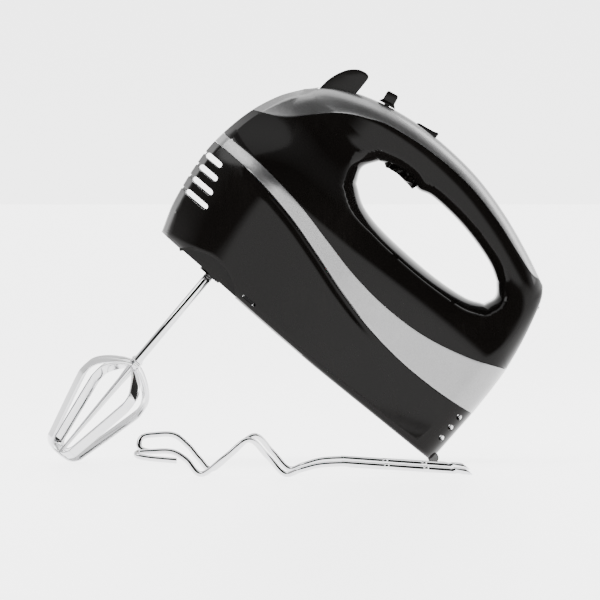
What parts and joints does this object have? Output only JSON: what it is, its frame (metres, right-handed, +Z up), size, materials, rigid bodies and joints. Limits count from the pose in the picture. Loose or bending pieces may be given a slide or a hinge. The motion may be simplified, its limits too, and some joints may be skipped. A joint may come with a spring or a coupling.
{
  "type": "hand mixer",
  "caption": "Corded hand mixer resting nose-up on its heel and beaters, with a slotted gloss housing, handle, speed slider, eject and turbo buttons, and loose dough hooks.",
  "frame": {"origin": "middle of the flat on the heel foot, where the mixer stands", "axes": "+Z up, -X towards the beaters' end of the resting mixer, Y across its width"},
  "size_m": [0.2765, 0.216, 0.2192],
  "materials": {
    "black_gloss": "gloss",
    "silver_paint": "satin",
    "foot_rubber": "matte",
    "nylon": "satin",
    "bronze": "satin",
    "laminations": "satin",
    "copper_wire": "satin",
    "carbon": "matte",
    "switch_plastic": "matte",
    "circuit_laminate": "satin",
    "machined_steel": "satin",
    "chrome_steel": "polished"
  },
  "bodies": {
    "housing": {"upper_housing": "black_gloss", "lower_housing": "black_gloss", "side_band": "silver_paint", "top_cover": "silver_paint", "heel_foot": "foot_rubber", "base_clip": "black_gloss", "socket_collars": "black_gloss", "base_screws": "machined_steel", "gear_plate": "nylon", "worm_bearing": "bronze", "front_bracket": "nylon", "front_bearing": "bronze", "rear_bracket": "nylon", "rear_bearing": "bronze", "stator_core": "laminations", "field_coils": "copper_wire", "brush_holders": "bronze", "carbon_brushes": "carbon", "speed_switch": "switch_plastic", "turbo_switch": "switch_plastic", "circuit_board": "circuit_laminate", "cord_bush": "black_gloss", "cord_clamp": "nylon"},
    "rotor": {"motor_shaft": "machined_steel", "rotor_core": "laminations", "rotor_windings": "copper_wire", "commutator": "bronze", "cooling_fan": "nylon", "worm": "machined_steel"},
    "left_drive": {"left_worm_wheel": "nylon", "left_drive_sleeve": "machined_steel"},
    "right_drive": {"right_worm_wheel": "nylon", "right_drive_sleeve": "machined_steel"},
    "left_beater": {"left_beater_stem": "chrome_steel", "left_beater_outer_loop": "chrome_steel", "left_beater_inner_loop": "chrome_steel", "left_beater_cap": "chrome_steel"},
    "right_beater": {"right_beater_stem": "chrome_steel", "right_beater_outer_loop": "chrome_steel", "right_beater_inner_loop": "chrome_steel", "right_beater_cap": "chrome_steel"},
    "eject": {"eject_button": "black_gloss", "eject_yoke": "nylon", "eject_spring": "machined_steel"},
    "speed_slider": {"speed_slider": "black_gloss", "slider_contact": "bronze"},
    "turbo_button": {"turbo_button": "black_gloss"},
    "near_hook": {"near_hook": "chrome_steel", "near_hook_sleeve": "chrome_steel"},
    "far_hook": {"far_hook": "chrome_steel", "far_hook_sleeve": "chrome_steel"}
  },
  "joints": [
    {"name": "motor_spin", "type": "hinge", "parent": "housing", "child": "rotor", "pos_m": [-0.1009, 0, 0.13224], "axis": [-0.7643, 0, 0.6449], "continuous": true},
    {"name": "left_drive_spin", "type": "hinge", "parent": "housing", "child": "left_drive", "pos_m": [-0.1009, -0.021, 0.13224], "axis": [0.6449, 0, 0.7643], "continuous": true},
    {"name": "right_drive_spin", "type": "hinge", "parent": "housing", "child": "right_drive", "pos_m": [-0.1009, 0.021, 0.13224], "axis": [0.6449, 0, 0.7643], "continuous": true},
    {"name": "left_beater_pull", "type": "slide", "parent": "left_drive", "child": "left_beater", "axis": [-0.6449, 0, -0.7643], "range_m": [0, 0.06]},
    {"name": "right_beater_pull", "type": "slide", "parent": "right_drive", "child": "right_beater", "axis": [-0.6449, 0, -0.7643], "range_m": [0, 0.06]},
    {"name": "eject_push", "type": "slide", "parent": "housing", "child": "eject", "axis": [-0.6449, 0, -0.7643], "range_m": [0, 0.006], "stiffness_N_per_m": 800, "springref_m": -0.003},
    {"name": "speed_slide", "type": "slide", "parent": "housing", "child": "speed_slider", "axis": [0.8733, 0, -0.4872], "range_m": [0, 0.012]},
    {"name": "turbo_press", "type": "slide", "parent": "housing", "child": "turbo_button", "axis": [-0.6449, 0, -0.7643], "range_m": [0, 0.002], "stiffness_N_per_m": 900, "springref_m": -0.002},
    {"name": "near_hook_lift", "type": "slide", "parent": "housing", "child": "near_hook", "axis": [0, 0, 1], "range_m": [0, 0.15]},
    {"name": "far_hook_lift", "type": "slide", "parent": "housing", "child": "far_hook", "axis": [0, 0, 1], "range_m": [0, 0.15]}
  ],
  "couplings": [
    {"joint": "left_drive_spin", "follows": "motor_spin", "ratio": 0.076923},
    {"joint": "right_drive_spin", "follows": "motor_spin", "ratio": -0.076923}
  ]
}
